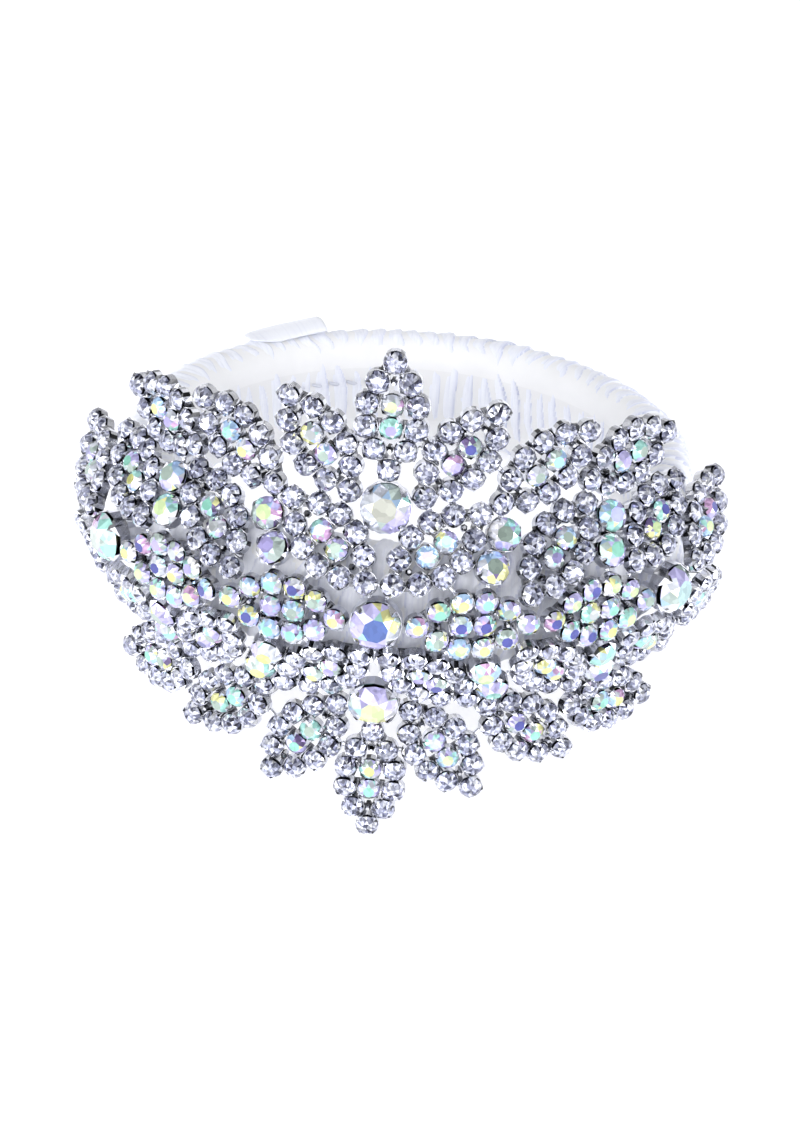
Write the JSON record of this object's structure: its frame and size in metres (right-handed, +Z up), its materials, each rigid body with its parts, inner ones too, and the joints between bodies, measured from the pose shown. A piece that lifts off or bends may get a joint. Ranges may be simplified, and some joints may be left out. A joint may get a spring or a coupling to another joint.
{
  "type": "rhinestone bun ring",
  "caption": "Ribbon-wrapped padded hoop that goes round a hair bun, with a leaf-pattern rhinestone applique sewn over its front.",
  "frame": {"origin": "on the surface the ring rests on, below the middle of its bounding box", "axes": "+Z up, -Y towards the middle of the applique, +X to its right as it is looked at; the hoop leans back about X, held up in front by its lowest leaf"},
  "size_m": [0.0662, 0.0644, 0.0495],
  "materials": {
    "ribbon": "satin ribbon, white",
    "thread": "sewing thread",
    "wadding": "polyester wadding",
    "spring_band": "white plastic strip",
    "silver": "bright silver plate",
    "crystal": "clear cut glass, foiled back",
    "iridescent": "cut glass with a rainbow coating"
  },
  "bodies": {
    "root": {"crystals_lower": "crystal", "crystals_upper": "crystal", "hoop_core": "spring_band", "hoop_padding": "wadding", "leaf_lower_cheek_left": "silver", "leaf_lower_cheek_right": "silver", "leaf_lower_crest": "silver", "leaf_lower_fan_left": "silver", "leaf_lower_fan_right": "silver", "leaf_lower_flank_left": "silver", "leaf_lower_flank_right": "silver", "leaf_lower_heart_left": "silver", "leaf_lower_heart_right": "silver", "leaf_lower_plume_left": "silver", "leaf_lower_plume_right": "silver", "leaf_lower_shoulder_left": "silver", "leaf_lower_shoulder_right": "silver", "leaf_lower_wing_left": "silver", "leaf_lower_wing_right": "silver", "leaf_middle_inner_left": "silver", "leaf_middle_inner_right": "silver", "leaf_middle_outer_left": "silver", "leaf_middle_outer_right": "silver", "leaf_upper_cheek_left": "silver", "leaf_upper_cheek_right": "silver", "leaf_upper_crest": "silver", "leaf_upper_fan_left": "silver", "leaf_upper_fan_right": "silver", "leaf_upper_flank_left": "silver", "leaf_upper_flank_right": "silver", "leaf_upper_heart_left": "silver", "leaf_upper_heart_right": "silver", "leaf_upper_plume_left": "silver", "leaf_upper_plume_right": "silver", "leaf_upper_shoulder_left": "silver", "leaf_upper_shoulder_right": "silver", "leaf_upper_wing_left": "silver", "leaf_upper_wing_right": "silver", "pair_lower_inner_left": "silver", "pair_lower_inner_right": "silver", "pair_lower_outer_left": "silver", "pair_lower_outer_right": "silver", "pair_upper_inner_left": "silver", "pair_upper_inner_right": "silver", "pair_upper_outer_left": "silver", "pair_upper_outer_right": "silver", "ribbon_end": "ribbon", "ribbon_wrap": "ribbon", "setting_end_left": "silver", "setting_end_right": "silver", "setting_lower_centre": "silver", "setting_middle": "silver", "setting_upper_centre": "silver", "sewing_ties": "thread", "solder_links": "silver", "stones_big": "iridescent", "stones_iridescent": "iridescent", "stones_medium": "iridescent", "wrap_stitches": "thread"}
  },
  "joints": []
}
